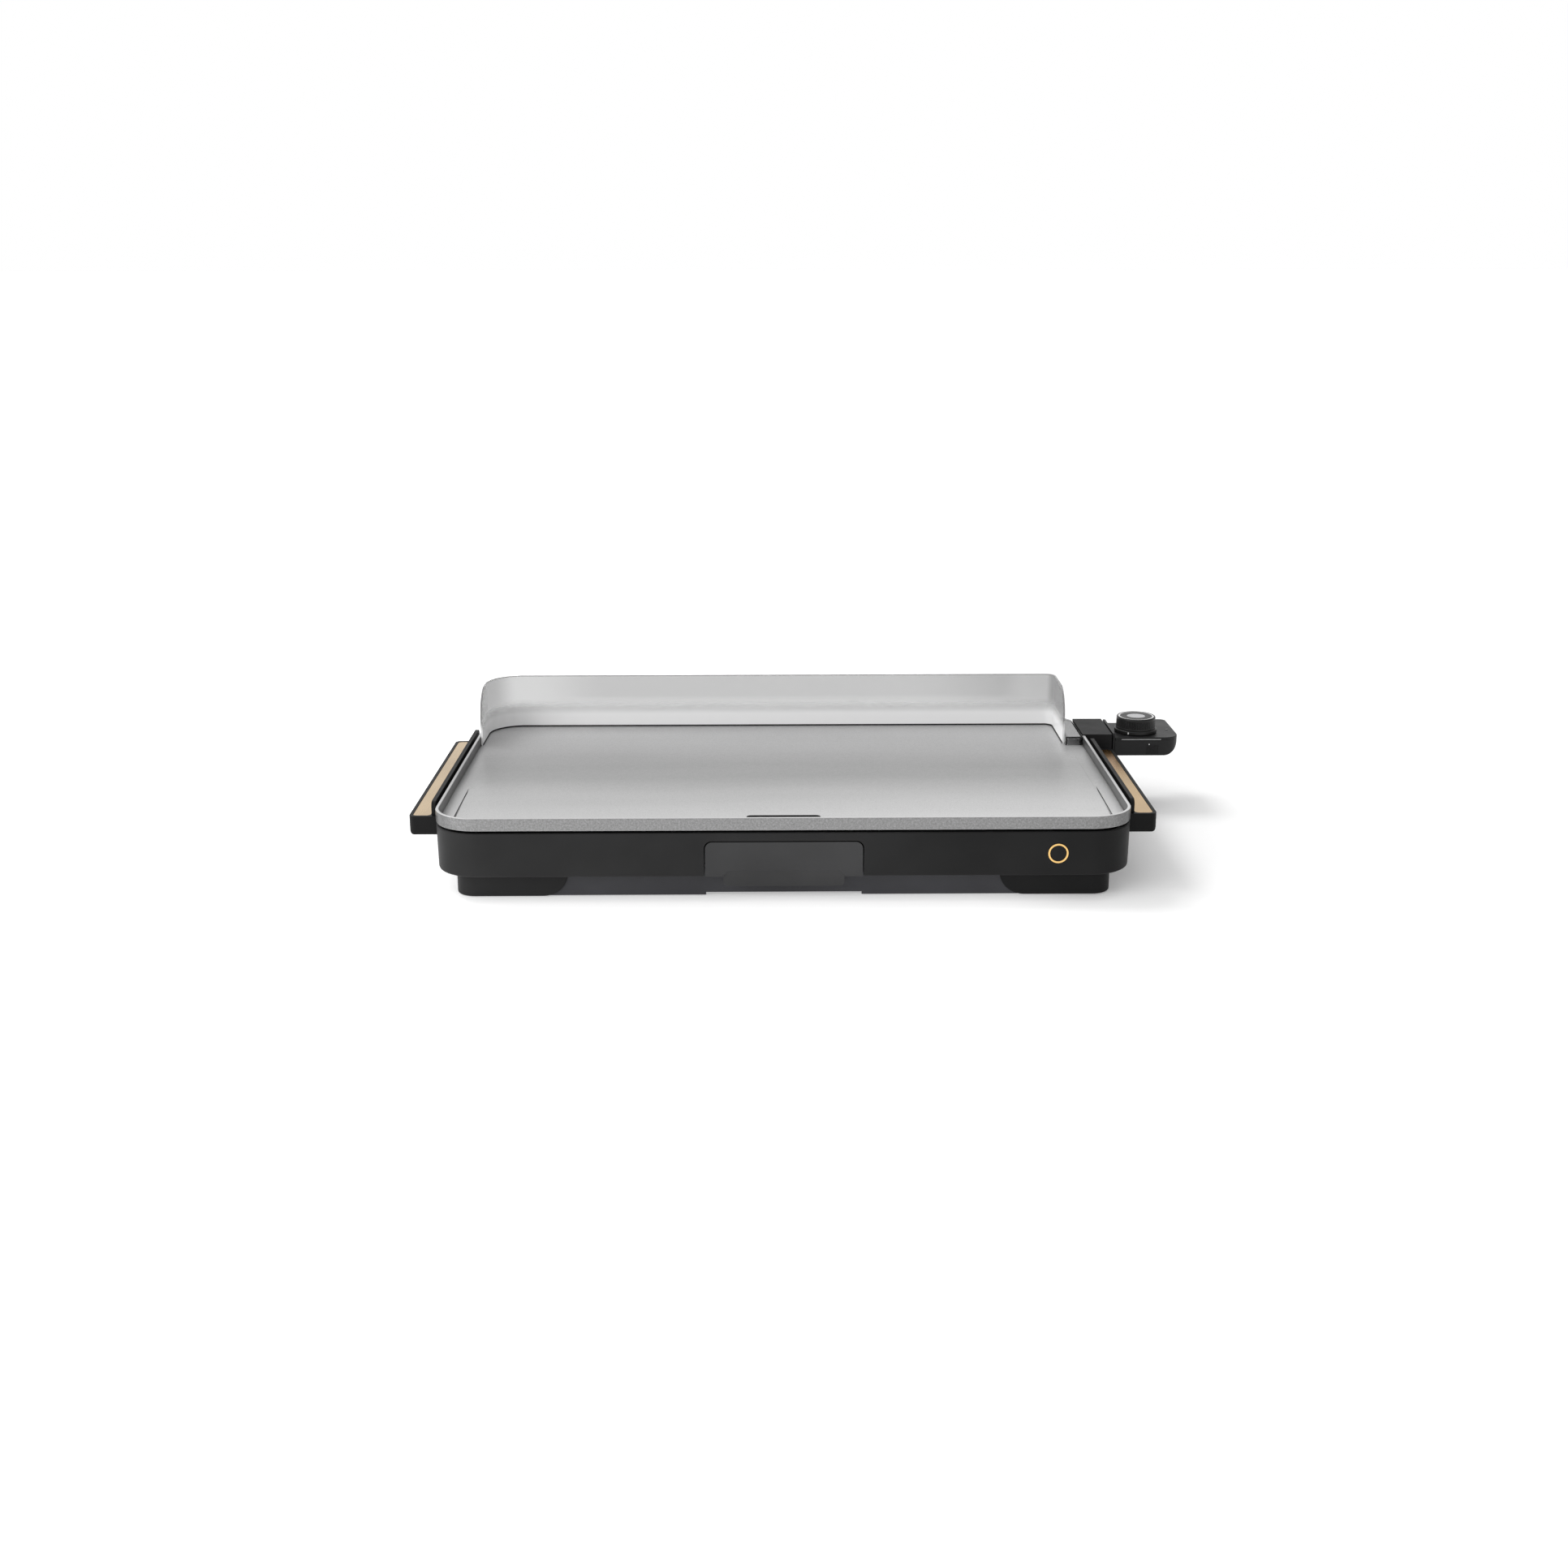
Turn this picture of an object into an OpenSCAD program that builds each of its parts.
// Electric griddle with a lift-off cast plate on a plastic base.
// A clear splatter shield stands on the plate, a plug-in temperature control
// slides into the right side, and a drip tray slides out of the front.
// Millimetres. +X is right, +Y is back, +Z is up. Plate dimensions are taken
// about the plate's centre, and every piece is moved so that the origin is at
// the centre of the whole object's footprint, on the surface it stands on.

/* [Plate] */
// Width of the cast plate over its rim
plate_w = 589; // [560:1:620]
// Depth of the cast plate over its rim
plate_d = 358; // [340:1:380]
// Corner radius of the rim, seen from above
plate_r = 37.5; // [32:0.5:44]
// Height of the rim's top edge above the counter
rim_top = 74.5; // [73:0.5:76]
// Height of the rim's outer face
rim_face = 11; // [10:0.5:12]
// Thickness of the rim at its top
rim_t = 2.8; // [2.4:0.1:3.2]
// Depth of the cooking surface below the rim
well_depth = 8.5; // [7.5:0.5:9]
// Width of the level margin between the sloping surface and the side rim
margin_w = 12; // [8:1:16]
// Fall of the cooking surface at its front edge
surface_fall = 3; // [1:0.5:3]
// Width of the drain slot
drain_w = 63; // [40:1:80]
// Depth of the drain slot, front to back
drain_d = 14; // [10:1:18]

/* [Base] */
// Height of the base's top edge
base_top = 61.4; // [60:0.2:62]
// Height of the outer shell's bottom edge
shell_bottom = 23; // [20:1:24]
// Thickness of the moulded walls
wall = 2.5; // [2:0.1:3]
// Width of the recessed skirt
skirt_w = 544; // [530:1:560]
// Depth of the recessed skirt
skirt_d = 320; // [310:1:330]
// Length of each corner foot along the front
foot_len = 96; // [80:0.5:110]
// Radius of the round inner end of each foot
foot_end_r = 21; // [12:1:22]

/* [Drip tray] */
// Width of the opening for the tray's front
tray_gap_w = 133.6; // [120:0.2:140]
// Height of the opening's top edge
tray_gap_top = 54.2; // [50:0.2:55]
// Length of the tray's tub, front to back
tub_len = 108; // [90:1:110]

/* [Handles] */
// Distance of the handles' outer faces from the plate's centre
handle_out = 320; // [316:1:326]
// Height of the handles' top edge
handle_top = 63.2; // [62:0.2:64]
// Height of the handles' underside
handle_bottom = 47; // [44:1:50]
// Height of the upright guard between handle and plate
guard_top = 75; // [70:0.5:76]

/* [Splatter shield] */
// Height of the shield's top edge
shield_top = 118.5; // [100:0.5:130]
// Thickness of the clear sheet
shield_t = 1.8; // [1.6:0.1:2]
// Length of the shield's side returns
return_len = 77; // [60:1:90]
// Radius of the returns' upper front corner
return_r = 29; // [15:1:35]

/* [Temperature control] */
// Height of the control's flat top
control_top = 72.2; // [71.6:0.2:72.8]
// Radius of the knob's grip
knob_r = 19.1; // [17:0.1:19.4]
// Height of the knob's top face
knob_top = 88.1; // [86:0.1:90]
// Radius of the temperature sensor rod
rod_r = 3; // [2.5:0.1:3.2]

/* [Hidden] */
$fn = 96;
eps = 0.01;
far = 400;

// plate
plate_hx = plate_w / 2;
plate_hy = plate_d / 2;
skirt_z = rim_top - rim_face;
floor_z = rim_top - well_depth;
slab_z = 59;
slab_inset = 6.5;
well_hx = plate_hx - rim_t;
well_hy = plate_hy - rim_t;
bend_y = -57;
slope_y = -70;
front_y = -150;
margin_fall = surface_fall / 2;
drain_y = -141.5;

// element, terminals and sensor share one height, and the socket's middle
socket_y = 126.3;
socket_z = 58.8;
pin_pitch = 34;
element_r = 3.2;
element_bend = 24;
rib_w = 13;
rib_z = 55;
pin_r = 2.2;
element_end = 298;
route = [
    [element_end, socket_y + pin_pitch / 2],
    [-240, socket_y + pin_pitch / 2],
    [-240, -110],
    [240, -110],
    [240, -20],
    [-170, -20],
    [-170, socket_y - pin_pitch / 2],
    [element_end, socket_y - pin_pitch / 2]
];
well_tube_r = 5.3;
well_tube_from = 200;
well_tube_to = 292;
rod_gap = 0.25;

// guard over the terminals
guard_x0 = 292;
guard_x1 = 320.5;
guard_y0 = 94.3;
guard_y1 = 158.3;
guard_z0 = 50;
guard_z1 = 75.5;
guard_t = 2;
guard_lip_z = 73.2;
guard_back_x = 295;
guard_foot_x = 279;
guard_screw_x = 284;
guard_screw_ys = [98.3, 154.3];

// base
shell_hx = plate_hx - 0.1;
shell_hy = plate_hy;
shell_r = plate_r;
skirt_hx = skirt_w / 2;
skirt_hy = skirt_d / 2;
skirt_r = 15;
skirt_low = 1;
flange_top = shell_bottom + 2 * wall;
ledge_top = shell_bottom + wall;
rib_top = 48.5;
bay_x = 68.6;
bay_back = -60;
tower_x = 253;
tower_y = 141;
tower_r = 11;
pad_r = 8.3;
pad_h = 4.5;
post_r = 5.5;
post_top = 56;
post_spots = [[281, -110], [281, 50], [-281, -110], [-281, 50], [-281, 120],
    [-150, 166.5], [150, 166.5], [-150, -166.5], [150, -166.5]];
screw_spots = [[279, -60], [279, 20], [-279, -60], [-279, 20],
    [-200, 166], [200, 166], [-200, -166], [200, -166], [0, 166]];
notch_y0 = guard_y0 - 3;
notch_y1 = guard_y1 + 3;
notch_z = 47;
foot_hx = skirt_hx + 6.5;
foot_hy = skirt_hy + 2;
foot_r = 17;
foot_low = 0.8;
foot_depth = 66;
relief_w = 132;
relief_h = 2.3;

// heat reflector
sheet_t = 0.8;
sheet_hx = 266;
sheet_hy = 154;
sheet_lip = 4;
sheet_hole_w = 82;
sheet_hole_d = 26;
sheet_screws = [[bay_x + wall / 2, -40], [-bay_x - wall / 2, -40],
    [bay_x + wall / 2, 120], [-bay_x - wall / 2, 120]];

// drip tray
front_y0 = -shell_hy;
tray_gap_hx = tray_gap_w / 2;
tray_gap = 0.9;
tray_corner = 6.5;
panel_low = shell_bottom + 0.2;
panel_t = 2.6;
tub_hx = 60;
tub_y0 = front_y0 + 5.5;
tub_z0 = 29;
tub_z1 = 46.5;
tub_t = 1.8;
pull_hx = 50.8;
pull_cut_hx = 46.3;
pull_top = 28.4;
pull_bottom = 12;
pull_back = 8.5;
pull_r = 4;
runner_t = 1.6;
tray_screw_x = 35;

// handles
inlay_in = 301.6;
inlay_out = handle_out - 2.8;
inlay_t = 1.5;
upright_x0 = 297.2;
upright_x1 = 300.6;
handle_front = -133;
left_back = 126;
right_back = 86;
upright_front = -130;
left_upright_back = 128.3;
handle_r = 5;
handle_wall = 2.6;
handle_screw_r = 2;

// shield
shield_gap = 0.5;
shield_left = -(well_hx - shield_gap);
shield_right = 274.8;
shield_back = well_hy - 1.6;
shield_front = shield_back - return_len;
shield_r_left = plate_r - rim_t - shield_gap;
shield_r_right = 10;
block_x1 = well_hx - shield_gap;
block_y0 = 89;
block_y1 = 167;
block_top = rim_top;
block_t = 2;
block_r = 2.5;

// temperature control
control_x0 = 324;
control_x1 = 386.5;
control_y0 = 94.5;
control_y1 = 169.3;
neck_y1 = 154.5;
control_low = 54.2;
control_split = 69.6;
control_front_r = 15;
control_rear_r = 6;
control_belly_r = 15;
control_t = 2;
control_floor = 1.3;
nose_x0 = 305;
nose_y0 = 98.5;
nose_y1 = 154.1;
nose_z0 = 53.6;
nose_z1 = 71;
fin_x0 = 321.9;
fin_y0 = 95.2;
fin_y1 = 156.2;
fin_top = 76;
fin_r = 3;
knob_x = 347.9;
knob_y = 119.3;
knob_low = 72.7;
knob_skirt_r = 20.5;
knob_skirt_top = 76.4;
ring_r = 17.4;
ring_bore = 15.4;
knob_flutes = 36;
flute_r = 0.65;
shaft_r = 3;
shaft_low = 57.8;
lens_x = 379.7;
lens_y = 125.4;
lens_r = 1.5;
inlet_x = 372;
inlet_z = 62;
inlet_r = 5;
inlet_bore = 3.3;
control_screws = [[331, 150], [362, 160], [371, 103]];
stack_x = 340;
stack_y = 142;

// the origin is under the middle of the footprint from handle to control
shift_x = -(control_x1 - handle_out) / 2;

// rounded rectangle about the origin, by half sizes
module round_rect(hx, hy, r) {
    square([2 * hx, 2 * (hy - r)], center = true);
    square([2 * (hx - r), 2 * hy], center = true);
    for (sx = [-1, 1], sy = [-1, 1])
        translate([sx * (hx - r), sy * (hy - r)]) circle(r = r);
}

// a slab of that outline between two heights
module slab(hx, hy, r, z0, z1)
    translate([0, 0, z0]) linear_extrude(z1 - z0) round_rect(hx, hy, r);

// a wall that follows that outline
module ring(hx, hy, r, t, z0, z1)
    translate([0, 0, z0]) linear_extrude(z1 - z0) difference() {
        round_rect(hx, hy, r);
        round_rect(hx - t, hy - t, max(r - t, 1));
    }

// a block between two corners
module block(a, b) translate(a) cube(b - a);

// an outline in Y and Z, extruded along X
module along_x(x0, x1) translate([x0, 0, 0]) rotate([90, 0, 90]) linear_extrude(x1 - x0) children();

// an outline in X and Z, extruded along Y
module along_y(y0, y1) translate([0, y1, 0]) rotate([90, 0, 0]) linear_extrude(y1 - y0) children();

// a round bar along X
module bar_x(x0, x1, y, z, r) translate([x0, y, z]) rotate([0, 90, 0]) cylinder(r = r, h = x1 - x0);

// sweeps a 2D section along a route of straight runs and quarter bends
module sweep(points, bend, z) {
    last = len(points) - 1;
    for (i = [0 : last - 1]) {
        a = points[i];
        b = points[i + 1];
        d = (b - a) / norm(b - a);
        s = a + (i == 0 ? 0 : bend) * d;
        e = b - (i == last - 1 ? 0 : bend) * d;
        translate([s[0], s[1], z]) rotate([0, 0, atan2(d[1], d[0])]) rotate([90, 0, 90])
            linear_extrude(norm(e - s)) children();
    }
    for (i = [1 : last - 1]) {
        d1 = (points[i] - points[i - 1]) / norm(points[i] - points[i - 1]);
        d2 = (points[i + 1] - points[i]) / norm(points[i + 1] - points[i]);
        c = points[i] + bend * (d2 - d1);
        left = d1[0] * d2[1] - d1[1] * d2[0] > 0;
        start = left ? atan2(-d2[1], -d2[0]) : atan2(d1[1], d1[0]);
        translate([c[0], c[1], z]) rotate([0, 0, start]) rotate_extrude(angle = 90)
            translate([bend, 0]) children();
    }
}

// ---- plate ----

// the hollow above the cooking surface: margins, sloping surface and trough
module well_space() {
    intersection() {
        slab(well_hx, well_hy, plate_r - rim_t, floor_z - 2 * surface_fall, rim_top + 1);
        along_x(-far, far) polygon([
            [far, floor_z], [bend_y, floor_z], [front_y, floor_z - margin_fall],
            [-far, floor_z - margin_fall], [-far, far], [far, far]
        ]);
    }
    intersection() {
        slab(well_hx - margin_w, well_hy - 8, 14, floor_z - 2 * surface_fall, rim_top + 1);
        along_x(-far, far) polygon([
            [far, floor_z], [slope_y, floor_z], [front_y, floor_z - surface_fall],
            [-far, floor_z - surface_fall], [-far, far], [far, far]
        ]);
    }
}

module griddle_plate() color("silver") difference() {
    union() {
        slab(plate_hx, plate_hy, plate_r, skirt_z, rim_top);
        slab(plate_hx - slab_inset, plate_hy - slab_inset, plate_r - slab_inset, slab_z, skirt_z + eps);
        intersection() {
            sweep(route, element_bend, rib_z)
                translate([-rib_w / 2, 0]) square([rib_w, slab_z - rib_z + 1]);
            block([-far, -far, 0], [288, far, far]);
        }
        bar_x(well_tube_from - 4, well_tube_to, socket_y, socket_z, well_tube_r);
        for (y = guard_screw_ys)
            translate([guard_screw_x, y, guard_z0 + guard_t]) cylinder(r = 3.8, h = slab_z - guard_z0);
    }
    well_space();
    sweep(route, element_bend, socket_z) circle(r = element_r, $fn = 48);
    bar_x(well_tube_from, far, socket_y, socket_z, rod_r + rod_gap);
    translate([0, drain_y, slab_z - 8]) linear_extrude(20)
        round_rect(drain_w / 2, drain_d / 2, 4);
    block([well_hx - eps, guard_y0 - 0.4, guard_lip_z], [far, guard_y1 + 0.4, far]);
    for (y = guard_screw_ys)
        translate([guard_screw_x, y, guard_z0]) cylinder(r = 1.5, h = 12);
}

module heating_element() color("dimgray")
    sweep(route, element_bend, socket_z) circle(r = element_r, $fn = 48);

module terminal_pins() color("gainsboro")
    for (s = [-1, 1])
        bar_x(element_end, guard_x1 - 2.5, socket_y + s * pin_pitch / 2, socket_z, pin_r);

module terminal_insulators() color("white")
    for (s = [-1, 1]) difference() {
        bar_x(element_end, element_end + 4.5, socket_y + s * pin_pitch / 2, socket_z, 4.2);
        bar_x(element_end - 1, element_end + 6, socket_y + s * pin_pitch / 2, socket_z, pin_r);
    }

module terminal_guard() color([0.12, 0.12, 0.13]) difference() {
    union() {
        block([guard_x0, guard_y0, guard_lip_z], [guard_x1, guard_y1, guard_z1]);
        block([guard_back_x, guard_y0, guard_z0], [guard_x1, guard_y1, guard_lip_z + eps]);
        block([guard_foot_x, guard_y0, guard_z0], [guard_back_x + eps, guard_y1, guard_z0 + guard_t]);
    }
    block([guard_back_x + guard_t, guard_y0 + guard_t, guard_z0 + guard_t],
        [guard_x1 + 1, guard_y1 - guard_t, guard_lip_z]);
    for (s = [-1, 1])
        bar_x(guard_back_x - 1, guard_back_x + guard_t + 1, socket_y + s * pin_pitch / 2,
            socket_z, element_r + 0.1);
    bar_x(guard_back_x - 1, guard_back_x + guard_t + 1, socket_y, socket_z, rod_r + 1);
    for (y = guard_screw_ys)
        translate([guard_screw_x, y, guard_z0 - 1]) cylinder(r = 1.5, h = 5);
}

module guard_screws() color("gray")
    for (y = guard_screw_ys) translate([guard_screw_x, y, guard_z0]) {
        cylinder(r = 1.5, h = 10);
        translate([0, 0, -1.6]) cylinder(r = 3, h = 1.6);
    }

// ---- base ----

// opening in the front for the tray, with round upper corners
module tray_opening(grow) {
    hx = tray_gap_hx - grow;
    top = tray_gap_top - grow;
    r = tray_corner - grow / 2;
    along_y(front_y0 - 1, -skirt_hy) union() {
        translate([-hx, 0]) square([2 * hx, top - r]);
        translate([-hx + r, 0]) square([2 * (hx - r), top]);
        for (s = [-1, 1]) translate([s * (hx - r), top - r]) circle(r = r);
    }
}

module outer_shell() color([0.17, 0.17, 0.18]) difference() {
    union() {
        ring(shell_hx, shell_hy, shell_r, wall, shell_bottom, base_top);
        translate([0, 0, shell_bottom]) linear_extrude(wall) difference() {
            round_rect(shell_hx, shell_hy, shell_r);
            round_rect(skirt_hx, skirt_hy, skirt_r);
        }
    }
    tray_opening(0);
    block([shell_hx - 10, notch_y0, notch_z], [far, notch_y1, far]);
    for (p = screw_spots) translate([p[0], p[1], 0]) cylinder(r = 1.6, h = 40);
    handle_holes();
}

module base_chassis() color([0.2, 0.2, 0.22]) difference() {
    union() {
        ring(skirt_hx, skirt_hy, skirt_r, wall, skirt_low, flange_top);
        translate([0, 0, ledge_top]) linear_extrude(wall) difference() {
            round_rect(skirt_hx + 14, skirt_hy + 11, skirt_r + 10);
            round_rect(skirt_hx - wall, skirt_hy - wall, skirt_r - wall);
        }
        for (s = [-1, 1]) {
            x = s > 0 ? bay_x : -bay_x - wall;
            block([x, -skirt_hy + 1, 5], [x + wall, skirt_hy - 1, rib_top]);
            block([x, front_y0 + wall, ledge_top], [x + wall, -skirt_hy + 2, rib_top]);
        }
        block([-bay_x, bay_back, 5], [bay_x, bay_back + wall, rib_top]);
        for (sx = [-1, 1], sy = [-1, 1]) {
            translate([sx * tower_x, sy * tower_y, skirt_low])
                cylinder(r = tower_r, h = rib_top - skirt_low);
            translate([sx * tower_x - wall / 2, sy > 0 ? tower_y : -skirt_hy + 1, skirt_low])
                cube([wall, skirt_hy - 1 - tower_y, flange_top - skirt_low]);
        }
        for (p = post_spots)
            translate([p[0], p[1], ledge_top]) cylinder(r = post_r, h = post_top - ledge_top);
    }
    for (sx = [-1, 1], sy = [-1, 1]) translate([sx * tower_x, sy * tower_y, 0]) {
        cylinder(r = pad_r, h = pad_h);
        translate([0, 0, pad_h + wall]) cylinder(r = tower_r - wall, h = 60);
    }
    block([-tray_gap_hx, -far, 0], [tray_gap_hx, -skirt_hy, far]);
    block([-tray_gap_hx, -skirt_hy - 1, ledge_top], [tray_gap_hx, bay_back - 1, far]);
    block([-relief_w / 2, -far, 0], [relief_w / 2, -skirt_hy + wall + 1, skirt_low + relief_h]);
    for (p = screw_spots) translate([p[0], p[1], 0]) cylinder(r = 1.5, h = 40);
    for (p = post_spots) translate([p[0], p[1], post_top - 4]) cylinder(r = 2, h = 5);
    for (p = sheet_screws) translate([p[0], p[1], rib_top - 8]) cylinder(r = 0.8, h = 9);
}

module chassis_screws() color("gray")
    for (p = screw_spots) translate([p[0], p[1], shell_bottom]) {
        cylinder(r = 1.5, h = 2 * wall);
        translate([0, 0, -1.6]) cylinder(r = 3, h = 1.6);
    }

// one foot cover wraps a corner of the skirt; its inner ends are round
module foot_cover() {
    intersection() {
        translate([0, 0, foot_low]) linear_extrude(shell_bottom - foot_low) difference() {
            round_rect(foot_hx, foot_hy, foot_r);
            round_rect(skirt_hx, skirt_hy, skirt_r);
        }
        union() {
            x0 = foot_hx - foot_len;
            along_y(foot_hy - foot_r, far) union() {
                translate([x0 + foot_end_r, foot_low]) square([far, shell_bottom]);
                translate([x0, foot_low + foot_end_r]) square([far, shell_bottom]);
                translate([x0 + foot_end_r, foot_low + foot_end_r]) circle(r = foot_end_r);
            }
            y0 = foot_hy - foot_depth;
            along_x(foot_hx - foot_r, far) union() {
                translate([y0 + foot_end_r, foot_low]) square([foot_depth, shell_bottom]);
                translate([y0, foot_low + foot_end_r]) square([foot_depth, shell_bottom]);
                translate([y0 + foot_end_r, foot_low + foot_end_r]) circle(r = foot_end_r);
            }
        }
    }
}

module corner_feet() color([0.16, 0.16, 0.17])
    for (mx = [0, 1], my = [0, 1]) mirror([mx, 0, 0]) mirror([0, my, 0]) foot_cover();

module foot_pads() color([0.08, 0.08, 0.08])
    for (sx = [-1, 1], sy = [-1, 1]) translate([sx * tower_x, sy * tower_y, 0])
        cylinder(r = pad_r, h = pad_h);

module plate_rests() color([0.3, 0.3, 0.3])
    for (p = post_spots) translate([p[0], p[1], 0]) {
        translate([0, 0, post_top - 4]) cylinder(r = 2, h = 4 + eps);
        translate([0, 0, post_top]) cylinder(r = post_r, h = slab_z - post_top);
    }

module heat_reflector() color("lightgray") difference() {
    union() {
        slab(sheet_hx, sheet_hy, 10, rib_top, rib_top + sheet_t);
        ring(sheet_hx, sheet_hy, 10, sheet_t, rib_top, rib_top + sheet_lip);
    }
    translate([0, drain_y, rib_top - 1]) linear_extrude(far)
        square([sheet_hole_w, sheet_hole_d], center = true);
    for (p = sheet_screws) translate([p[0], p[1], rib_top - 1]) cylinder(r = 0.8, h = 3);
}

module reflector_screws() color("gray")
    for (p = sheet_screws) translate([p[0], p[1], rib_top]) {
        translate([0, 0, -6]) cylinder(r = 0.8, h = 7);
        translate([0, 0, sheet_t]) cylinder(r = 2.5, h = 1.5);
    }

module tray_runners() color([0.2, 0.2, 0.22])
    for (m = [0, 1]) mirror([m, 0, 0]) {
        block([tub_hx - 12, -skirt_hy + 3, tub_z0 - 0.2 - runner_t], [bay_x, bay_back, tub_z0 - 0.2]);
        block([tub_hx + 1, -skirt_hy + 3, tub_z0 - 0.3], [bay_x, bay_back, tub_z0 + 6]);
    }

// ---- handles ----

module handle_holes() {
    for (y = [-110, -20, 70])
        bar_x(far / 2, shell_hx + 5, y, 53, handle_screw_r);
    for (y = [-110, -10, 105])
        bar_x(-shell_hx - 5, -far / 2, y, 53, handle_screw_r);
}

// handle on the +X side, from the front to y1, with its upright guard
module handle_frame(y1, upright_back) difference() {
    union() {
        y_mid = (handle_front + y1) / 2;
        y_half = (y1 - handle_front) / 2;
        intersection() {
            translate([0, y_mid, handle_bottom]) linear_extrude(handle_top - handle_bottom)
                round_rect(handle_out, y_half, handle_r);
            along_y(-far, far) union() {
                square([handle_out - 4, handle_top]);
                translate([0, handle_bottom + 4]) square([handle_out, handle_top]);
                translate([handle_out - 4, handle_bottom + 4]) circle(r = 4);
            }
            block([shell_hx, -far, 0], [far, far, far]);
        }
        along_x(upright_x0, upright_x1) union() {
            r = 5;
            translate([upright_front, handle_bottom])
                square([upright_back - upright_front, guard_top - r - handle_bottom]);
            translate([upright_front + r, handle_bottom])
                square([upright_back - upright_front - 2 * r, guard_top - handle_bottom]);
            for (y = [upright_front + r, upright_back - r]) translate([y, guard_top - r]) circle(r = r);
        }
    }
    inlay_shape(y1, handle_top - inlay_t, handle_top + 0.5, 0);
    translate([0, 0, handle_bottom - 1]) linear_extrude(10) difference() {
        translate([0, (handle_front + y1) / 2]) round_rect(handle_out - handle_wall,
            (y1 - handle_front) / 2 - handle_wall, handle_r);
        translate([-far, -far]) square([far + inlay_in + 1.5, 2 * far]);
    }
}

// the metal strip lying in the handle's top, seen from above
module inlay_shape(y1, z0, z1, gap) {
    r = 4;
    x0 = inlay_in + gap;
    x1 = inlay_out - gap;
    a = handle_front + 3 + gap;
    b = y1 - 3 - gap;
    translate([0, 0, z0]) linear_extrude(z1 - z0) {
        translate([x0 + r, a]) square([x1 - x0 - 2 * r, b - a]);
        translate([x0, a + r]) square([x1 - x0, b - a - 2 * r]);
        for (x = [x0 + r, x1 - r], y = [a + r, b - r]) translate([x, y]) circle(r = r);
    }
}

module left_handle() color([0.1, 0.1, 0.1]) difference() {
    mirror([1, 0, 0]) handle_frame(left_back, left_upright_back);
    handle_holes();
}

module right_handle() color([0.1, 0.1, 0.1]) difference() {
    handle_frame(right_back, right_back - 1);
    handle_holes();
}

module left_inlay() color([0.8, 0.69, 0.53])
    mirror([1, 0, 0]) inlay_shape(left_back, handle_top - inlay_t, handle_top - 0.2, 0.1);

module right_inlay() color([0.8, 0.69, 0.53])
    inlay_shape(right_back, handle_top - inlay_t, handle_top - 0.2, 0.1);

module handle_screws() color("gray") {
    inner = shell_hx - wall;
    for (y = [-110, -20, 70]) {
        bar_x(inner, shell_hx + 5, y, 53, handle_screw_r);
        bar_x(inner - 2, inner, y, 53, 3.5);
    }
    for (y = [-110, -10, 105]) {
        bar_x(-shell_hx - 5, -inner, y, 53, handle_screw_r);
        bar_x(-inner, -inner + 2, y, 53, 3.5);
    }
}

// a plain ring as trim on the front
module front_badge() color([0.85, 0.68, 0.4])
    translate([229, front_y0, 42.6]) rotate([90, 0, 0]) difference() {
        cylinder(r = 8.5, h = 0.6);
        translate([0, 0, -1]) cylinder(r = 6.9, h = 3);
    }

// ---- drip tray ----

module drip_tray() color([0.14, 0.14, 0.15]) difference() {
    block([-tub_hx, tub_y0, tub_z0], [tub_hx, tub_y0 + tub_len, tub_z1]);
    block([-tub_hx + tub_t, tub_y0 + tub_t, tub_z0 + tub_t],
        [tub_hx - tub_t, tub_y0 + tub_len - tub_t, tub_z1 + 1]);
    for (s = [-1, 1]) translate([s * tray_screw_x, tub_y0 + tub_t + 1, 38]) rotate([90, 0, 0])
        cylinder(r = 1.2, h = 10);
}

// front panel with its notch, and the pull tongue that slants back below it
module tray_front() color([0.24, 0.24, 0.25]) difference() {
    union() {
        intersection() {
            difference() {
                tray_opening(tray_gap);
                along_y(-far, far) polygon([
                    [-pull_hx, 0], [-pull_hx, pull_top - 4], [-pull_cut_hx, pull_top],
                    [pull_cut_hx, pull_top], [pull_hx, pull_top - 4], [pull_hx, 0]
                ]);
            }
            block([-far, front_y0, panel_low], [far, front_y0 + panel_t, far]);
        }
        intersection() {
            along_x(-pull_hx, pull_hx) polygon([
                [front_y0 + 1, pull_top + 1], [front_y0 + panel_t + 0.9, pull_top + 1],
                [front_y0 + pull_back + 2.2, pull_bottom], [front_y0 + pull_back, pull_bottom]
            ]);
            along_y(-far, far) union() {
                translate([-pull_hx + pull_r, pull_bottom]) square([2 * (pull_hx - pull_r), 20]);
                translate([-pull_hx, pull_bottom + pull_r]) square([2 * pull_hx, 20]);
                for (s = [-1, 1])
                    translate([s * (pull_hx - pull_r), pull_bottom + pull_r]) circle(r = pull_r);
            }
        }
        for (s = [-1, 1])
            block([s * tray_screw_x - 6, front_y0 + panel_t - eps, 31], [s * tray_screw_x + 6, tub_y0, 45]);
        block([-pull_hx, front_y0 + panel_t - eps, pull_top - 0.5], [pull_hx, tub_y0, 32]);
    }
    for (s = [-1, 1]) translate([s * tray_screw_x, tub_y0 + 1, 38]) rotate([90, 0, 0])
        cylinder(r = 1.2, h = 5);
}

module tray_screws() color("gray")
    for (s = [-1, 1]) translate([s * tray_screw_x, tub_y0 + tub_t, 38]) rotate([90, 0, 0]) {
        cylinder(r = 1.2, h = tub_t + 4 - 0.5);
        translate([0, 0, -1.2]) cylinder(r = 2.6, h = 1.2);
    }

// ---- splatter shield ----

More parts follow.
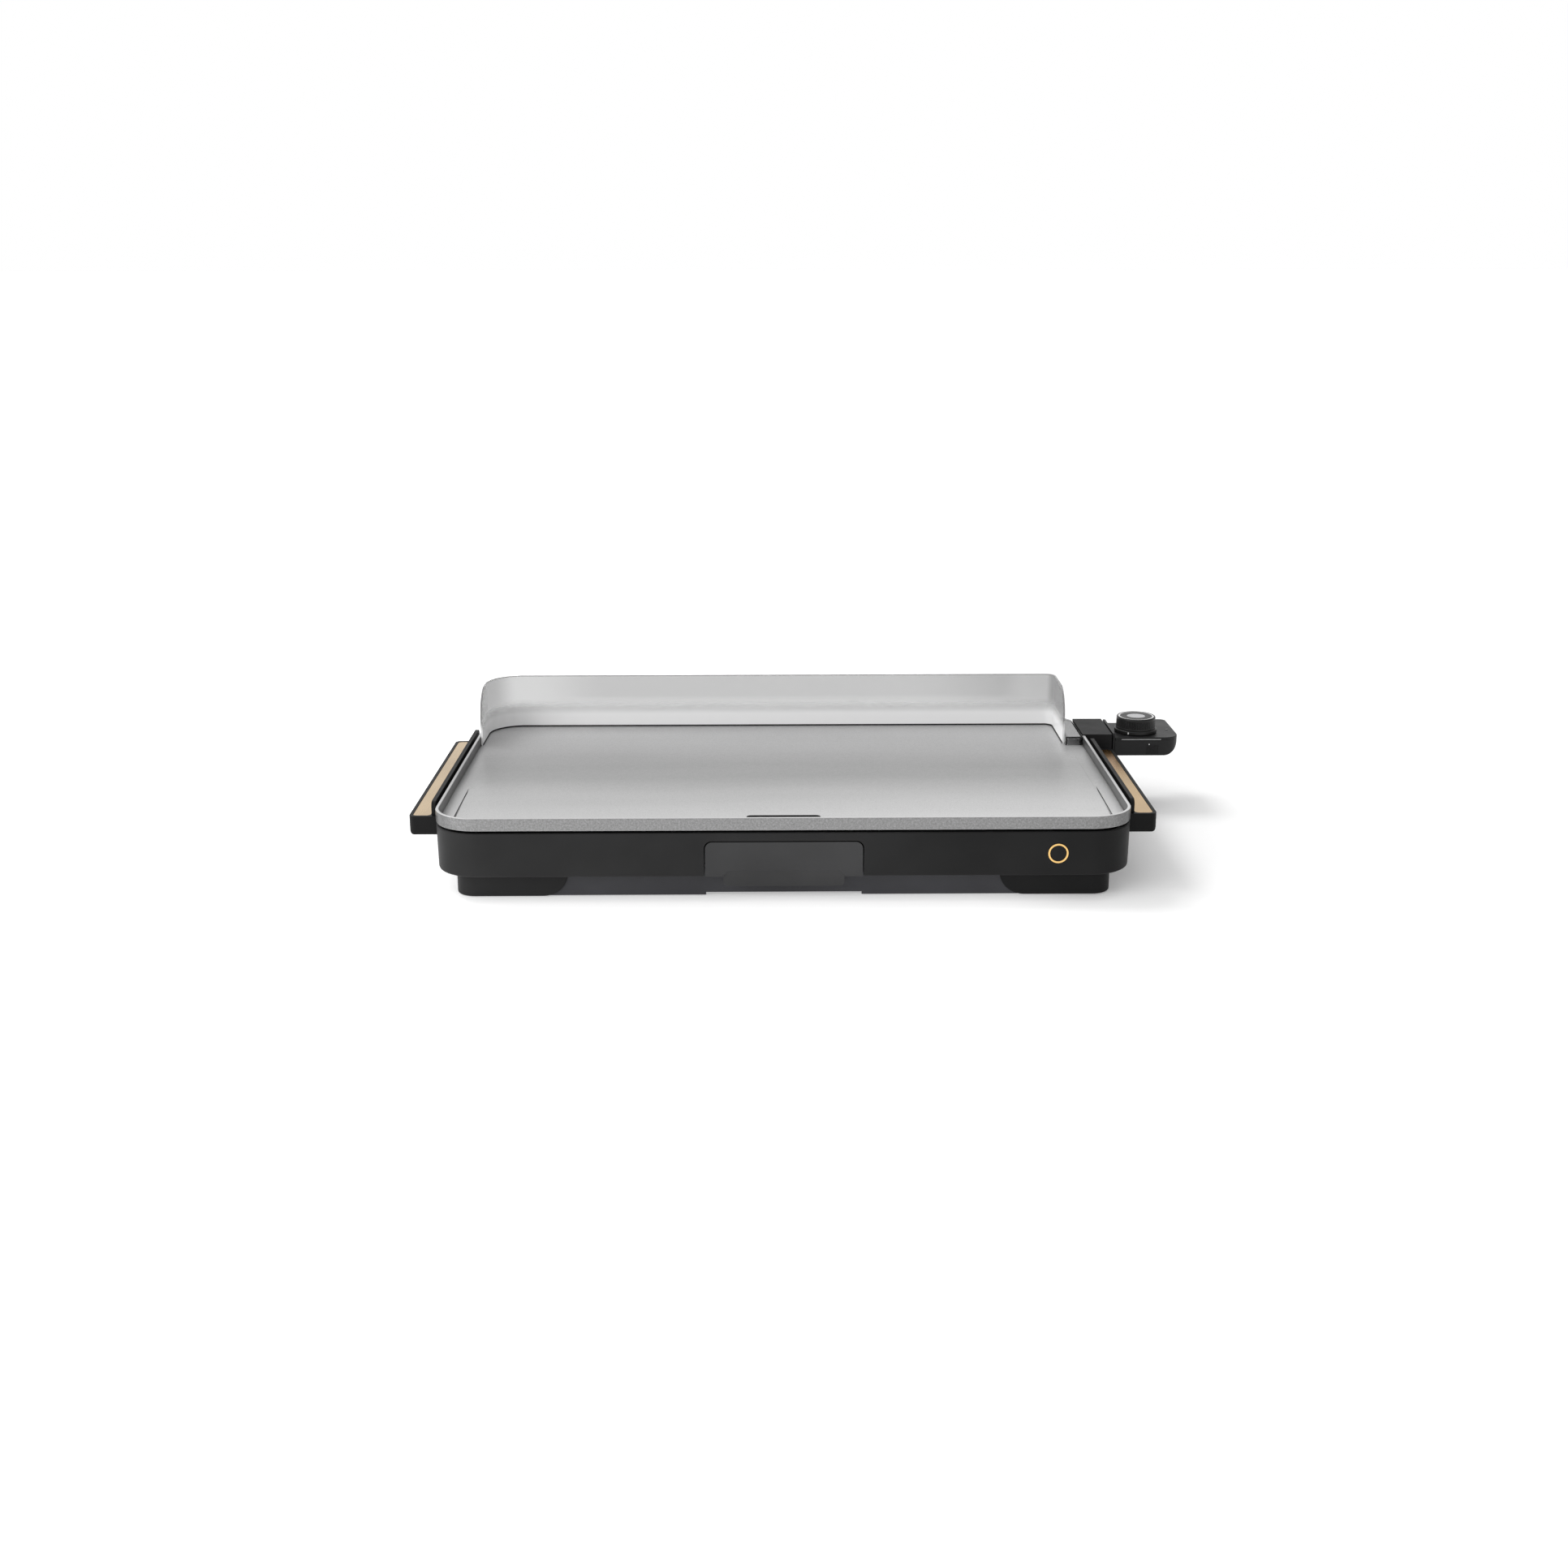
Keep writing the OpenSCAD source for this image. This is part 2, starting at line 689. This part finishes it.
// the shield's path in plan, as a closed band: back wall and two side returns
module shield_plan() difference() {
    shield_outline(0);
    shield_outline(shield_t);
    translate([-far, -far]) square([2 * far, far + shield_front]);
}

module shield_outline(inset) {
    x0 = shield_left + inset;
    x1 = shield_right - inset;
    y1 = shield_back - inset;
    rl = shield_r_left - inset;
    rr = shield_r_right - inset;
    translate([x0, -far]) square([x1 - x0, far + y1 - rl]);
    translate([x0 + rl, 0]) square([x1 - x0 - rl - rr, y1]);
    translate([x1 - rr - 1, 0]) square([rr + 1, y1 - rr]);
    translate([x0 + rl, y1 - rl]) circle(r = rl);
    translate([x1 - rr, y1 - rr]) circle(r = rr);
}

module splatter_shield() color([0.85, 0.88, 0.9, 0.4]) intersection() {
    translate([0, 0, floor_z]) linear_extrude(shield_top - floor_z) shield_plan();
    along_x(-far, far) union() {
        translate([shield_front, 0]) square([far, shield_top - return_r]);
        translate([shield_front + return_r, 0]) square([far, shield_top]);
        translate([shield_front + return_r, shield_top - return_r]) circle(r = return_r);
    }
}

// clear channel that fills the width between the shield's right end and the rim,
// and follows the rim round the plate's corner
module shield_foot() color([0.85, 0.88, 0.9, 0.4]) difference() {
    intersection() {
        along_y(block_y0, block_y1) union() {
            translate([shield_right, floor_z])
                square([block_x1 - shield_right, block_top - block_r - floor_z]);
            translate([shield_right, floor_z])
                square([block_x1 - shield_right - block_r, block_top - floor_z]);
            translate([block_x1 - block_r, block_top - block_r]) circle(r = block_r);
        }
        slab(block_x1, well_hy - shield_gap, shield_r_left, floor_z - 1, block_top + 1);
    }
    intersection() {
        along_y(block_y0 + block_t, block_y1 - block_t)
            translate([shield_right + block_t, 0])
                square([block_x1 - shield_right - 2 * block_t, block_top - block_t]);
        slab(block_x1 - block_t, well_hy - shield_gap - block_t, shield_r_left - block_t, 0, block_top);
    }
}

// ---- temperature control ----

// outline from above: a neck as wide as the socket, and a wider rear lobe
module control_plan(inset) {
    x0 = control_x0 + inset;
    x1 = control_x1 - inset;
    y0 = control_y0 + inset;
    y1 = control_y1 - inset;
    yn = neck_y1 - inset;
    rf = control_front_r - inset;
    rr = control_rear_r - inset;
    lobe_x = 368;
    translate([x0, y0]) square([x1 - x0 - rf, yn - y0]);
    translate([x1 - rf - 1, y0 + rf]) square([rf + 1, yn - y0 - rf]);
    translate([x1 - rf, y0 + rf]) circle(r = rf);
    translate([lobe_x, yn - 1]) square([x1 - lobe_x, y1 - rr - yn + 1]);
    translate([lobe_x, yn - 1]) square([x1 - rr - lobe_x, y1 - yn + 1]);
    translate([x1 - rr, y1 - rr]) circle(r = rr);
    polygon([
        [lobe_x + 1, y1], [lobe_x - 4, y1], [lobe_x - 20, yn],
        [lobe_x - 20, yn - 2], [lobe_x + 1, yn - 2]
    ]);
}

// outline from the front, with a large round at the lower outer corner
module control_front(inset, low) {
    r = control_belly_r - inset;
    x1 = control_x1 - inset;
    along_y(0, far) union() {
        translate([control_x0, low]) square([x1 - r - control_x0, far]);
        translate([control_x0, low + r]) square([x1 - control_x0, far]);
        translate([x1 - r, low + r]) circle(r = r);
    }
}

module control_base() color([0.14, 0.14, 0.14]) difference() {
    intersection() {
        translate([0, 0, control_low]) linear_extrude(control_split - control_low) control_plan(0);
        control_front(0, control_low);
    }
    difference() {
        intersection() {
            translate([0, 0, control_low]) linear_extrude(far) control_plan(control_t);
            control_front(control_t, control_low + control_floor);
        }
        for (p = control_screws) translate([p[0], p[1], 0]) cylinder(r = 3.4, h = far);
    }
    for (s = [-1, 0, 1])
        bar_x(control_x0 - 1, control_x0 + control_t + 1, socket_y + s * pin_pitch / 2, socket_z,
            s == 0 ? rod_r : 3.2);
    for (p = control_screws) translate([p[0], p[1], 0]) {
        cylinder(r = 1.4, h = far);
        cylinder(r = 2.7, h = control_low + 1.6);
    }
    translate([inlet_x, control_y1 - 6, inlet_z]) rotate([-90, 0, 0]) cylinder(r = inlet_r, h = 10);
}

module control_cover() color([0.13, 0.13, 0.13]) difference() {
    translate([0, 0, control_split]) linear_extrude(control_top - control_split) control_plan(0);
    translate([knob_x, knob_y, 0]) cylinder(r = shaft_r + 0.3, h = far);
    translate([lens_x, lens_y, 0]) cylinder(r = lens_r, h = far);
}

module control_nose() color([0.1, 0.1, 0.1]) difference() {
    block([nose_x0, nose_y0, nose_z0], [fin_x0, nose_y1, nose_z1]);
    for (s = [-1, 1])
        bar_x(nose_x0 - 1, fin_x0 + 1, socket_y + s * pin_pitch / 2, socket_z, 3.2);
    bar_x(nose_x0 - 1, fin_x0 + 1, socket_y, socket_z, rod_r);
}

module control_fin() color([0.12, 0.12, 0.12]) difference() {
    along_x(fin_x0, control_x0) union() {
        translate([fin_y0, control_low]) square([fin_y1 - fin_y0, fin_top - fin_r - control_low]);
        translate([fin_y0 + fin_r, control_low])
            square([fin_y1 - fin_y0 - 2 * fin_r, fin_top - control_low]);
        for (y = [fin_y0 + fin_r, fin_y1 - fin_r]) translate([y, fin_top - fin_r]) circle(r = fin_r);
    }
    for (s = [-1, 1])
        bar_x(fin_x0 - 1, control_x0 + 1, socket_y + s * pin_pitch / 2, socket_z, 3.2);
    bar_x(fin_x0 - 1, control_x0 + 1, socket_y, socket_z, rod_r);
}

module sensor_rod() color("silver") {
    bar_x(well_tube_from + 8, control_x0 + 9, socket_y, socket_z, rod_r);
    translate([well_tube_from + 8, socket_y, socket_z]) sphere(r = rod_r);
}

module contact_sockets() color("goldenrod")
    for (s = [-1, 1]) difference() {
        bar_x(nose_x0, control_x0 + 5, socket_y + s * pin_pitch / 2, socket_z, 3.2);
        bar_x(nose_x0 - 1, guard_x1 + 1, socket_y + s * pin_pitch / 2, socket_z, pin_r + 0.3);
    }

module thermostat_frame() color("lightsteelblue") difference() {
    union() {
        block([knob_x - 12, knob_y - 14, control_low + control_floor], [knob_x + 16, knob_y + 12, 57.2]);
        translate([knob_x, knob_y, 57.2]) cylinder(r = 5, h = 7);
    }
    translate([knob_x, knob_y, 57.2]) cylinder(r = shaft_r + 0.06, h = far);
}

module contact_blades() color("peru")
    for (z = [60, 63]) block([stack_x - 4, stack_y - 3, z], [stack_x + 28, stack_y + 3, z + 0.6]);

module blade_insulators() color("white") {
    translate([stack_x, stack_y, control_low + control_floor])
        cylinder(r = 3.4, h = 60 - control_low - control_floor);
    translate([stack_x, stack_y, 60.6]) cylinder(r = 3.4, h = 2.4);
    translate([stack_x, stack_y, 63.6]) cylinder(r = 3.4, h = 2.4);
}

module indicator_lamp() color("orange")
    translate([lens_x, lens_y, 62.4]) cylinder(r = 2, h = 5.4);

module indicator_lens() color([0.8, 0.3, 0.1]) translate([lens_x, lens_y, 0]) {
    translate([0, 0, 68.2]) cylinder(r = 2.4, h = control_split - 68.2);
    translate([0, 0, control_split]) cylinder(r = lens_r, h = control_top - control_split + 0.3);
}

module cord_inlet() color([0.06, 0.06, 0.06])
    translate([inlet_x, control_y1 - 4, inlet_z]) rotate([-90, 0, 0]) difference() {
        cylinder(r = inlet_r, h = 5.5);
        translate([0, 0, -1]) cylinder(r = inlet_bore, h = 8);
    }

module control_screws_set() color("gray")
    for (p = control_screws) translate([p[0], p[1], control_low + 0.4]) {
        cylinder(r = 1.4, h = 12);
        cylinder(r = 2.6, h = 1.2);
    }

module knob_grip() color([0.1, 0.1, 0.1]) difference() {
    translate([knob_x, knob_y, knob_skirt_top]) cylinder(r = knob_r, h = knob_top - knob_skirt_top);
    for (i = [0 : knob_flutes - 1]) translate([knob_x, knob_y, knob_skirt_top - 1])
        rotate([0, 0, i * 360 / knob_flutes]) translate([knob_r + 0.25, 0, 0])
            cylinder(r = flute_r, h = knob_top - knob_skirt_top - 1, $fn = 24);
    translate([knob_x, knob_y, 0]) cylinder(r = shaft_r, h = 84);
    translate([knob_x, knob_y, knob_top - 1]) cylinder(r = 9, h = 2);
    translate([knob_x, knob_y, knob_top - 0.8]) difference() {
        cylinder(r = ring_r, h = 2);
        translate([0, 0, -1]) cylinder(r = ring_bore, h = 4);
    }
}

module knob_skirt() color([0.1, 0.1, 0.1]) difference() {
    translate([knob_x, knob_y, knob_low]) cylinder(r = knob_skirt_r, h = knob_skirt_top - knob_low);
    translate([knob_x, knob_y, 0]) cylinder(r = shaft_r, h = far);
}

module dial_ring() color("darkgray")
    translate([knob_x, knob_y, knob_top - 0.8]) difference() {
        cylinder(r = ring_r, h = 0.6);
        translate([0, 0, -1]) cylinder(r = ring_bore, h = 4);
    }

module knob_cap() color("gray")
    translate([knob_x, knob_y, knob_top - 1]) cylinder(r = 9, h = 0.9);

module knob_shaft() color("lightgray")
    translate([knob_x, knob_y, shaft_low]) cylinder(r = shaft_r, h = 84 - shaft_low);

module place() translate([shift_x, 0, 0]) children();

place() griddle_plate();
place() heating_element();
place() terminal_pins();
place() terminal_insulators();
place() terminal_guard();
place() guard_screws();
place() outer_shell();
place() base_chassis();
place() chassis_screws();
place() corner_feet();
place() foot_pads();
place() plate_rests();
place() heat_reflector();
place() reflector_screws();
place() tray_runners();
place() left_handle();
place() right_handle();
place() left_inlay();
place() right_inlay();
place() handle_screws();
place() front_badge();
place() drip_tray();
place() tray_front();
place() tray_screws();
place() splatter_shield();
place() shield_foot();
place() control_base();
place() control_cover();
place() control_nose();
place() control_fin();
place() sensor_rod();
place() contact_sockets();
place() thermostat_frame();
place() contact_blades();
place() blade_insulators();
place() indicator_lamp();
place() indicator_lens();
place() cord_inlet();
place() control_screws_set();
place() knob_grip();
place() knob_skirt();
place() dial_ring();
place() knob_cap();
place() knob_shaft();
